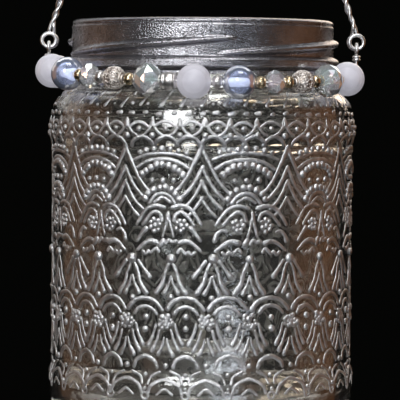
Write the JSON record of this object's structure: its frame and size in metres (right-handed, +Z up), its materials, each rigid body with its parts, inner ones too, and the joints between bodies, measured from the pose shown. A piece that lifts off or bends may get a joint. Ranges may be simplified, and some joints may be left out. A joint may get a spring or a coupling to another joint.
{
  "type": "mason jar lantern",
  "caption": "Glass jar tealight lantern with a threaded neck, a beaded wire collar round it and a swinging twisted wire handle.",
  "frame": {"origin": "middle of the jar's base, on the surface it stands on", "axes": "+Z up along the jar, front of the bead strand towards -Y, handle eyes on the X axis"},
  "size_m": [0.0984, 0.102, 0.2186],
  "materials": {
    "clear_glass": "clear polished soda glass",
    "silver_wire": "silver-plated craft wire",
    "frosted_glass": "frosted",
    "opalite_glass": "milky blue, polished",
    "crystal_glass": "faceted, polished",
    "filigree_metal": "antiqued cast filigree",
    "silver_metal": "bright plated",
    "gold_metal": "bright plated, antique gold",
    "thin_aluminium": "thin drawn foil",
    "wax": "smooth paraffin wax",
    "wick_cotton": "waxed cotton braid",
    "tab_steel": "tinned stamping",
    "neck_paint": "metallic pewter paint on the glass neck",
    "relief_paint": "raised silver pearl paint"
  },
  "bodies": {
    "jar": {"jar": "clear_glass"},
    "collar": {"back_filigree_bead_1": "filigree_metal", "back_filigree_bead_2": "filigree_metal", "back_frosted_bead_1": "frosted_glass", "back_frosted_bead_2": "frosted_glass", "back_frosted_bead_3": "frosted_glass", "back_gold_spacer_1": "gold_metal", "back_gold_spacer_2": "gold_metal", "back_gold_spacer_3": "gold_metal", "back_gold_spacer_4": "gold_metal", "back_gold_spacer_5": "gold_metal", "back_gold_spacer_6": "gold_metal", "back_gold_spacer_7": "gold_metal", "back_gold_spacer_8": "gold_metal", "back_gold_spacer_9": "gold_metal", "back_large_crystal_1": "crystal_glass", "back_large_crystal_2": "crystal_glass", "back_opalite_bead_1": "opalite_glass", "back_opalite_bead_2": "opalite_glass", "back_silver_barrel_1": "silver_metal", "back_silver_spacer_1": "silver_metal", "back_silver_spacer_2": "silver_metal", "back_small_crystal_1": "crystal_glass", "back_small_crystal_2": "crystal_glass", "back_wire": "silver_wire", "front_filigree_bead_1": "filigree_metal", "front_filigree_bead_2": "filigree_metal", "front_frosted_bead_1": "frosted_glass", "front_frosted_bead_2": "frosted_glass", "front_frosted_bead_3": "frosted_glass", "front_gold_spacer_1": "gold_metal", "front_gold_spacer_2": "gold_metal", "front_gold_spacer_3": "gold_metal", "front_gold_spacer_4": "gold_metal", "front_gold_spacer_5": "gold_metal", "front_gold_spacer_6": "gold_metal", "front_gold_spacer_7": "gold_metal", "front_gold_spacer_8": "gold_metal", "front_gold_spacer_9": "gold_metal", "front_large_crystal_1": "crystal_glass", "front_large_crystal_2": "crystal_glass", "front_opalite_bead_1": "opalite_glass", "front_opalite_bead_2": "opalite_glass", "front_silver_barrel_1": "silver_metal", "front_silver_spacer_1": "silver_metal", "front_silver_spacer_2": "silver_metal", "front_small_crystal_1": "crystal_glass", "front_small_crystal_2": "crystal_glass", "front_wire": "silver_wire"},
    "handle": {"outer_handle_wire": "silver_wire", "inner_handle_wire": "silver_wire"},
    "tealight": {"tealight_cup": "thin_aluminium", "tealight_wax": "wax", "wick": "wick_cotton", "wick_tab": "tab_steel"}
  },
  "joints": [
    {"name": "collar_turn", "type": "hinge", "parent": "jar", "child": "collar", "pos_m": [0, 0, 0.1039], "axis": [0, 0, 1], "continuous": true},
    {"name": "handle_swing", "type": "hinge", "parent": "collar", "child": "handle", "pos_m": [0, 0, 0.111], "axis": [1, 0, 0], "range_deg": [-88, 88]},
    {"name": "tealight_lift", "type": "slide", "parent": "jar", "child": "tealight", "axis": [0, 0, 1], "range_m": [0, 0.12]}
  ]
}
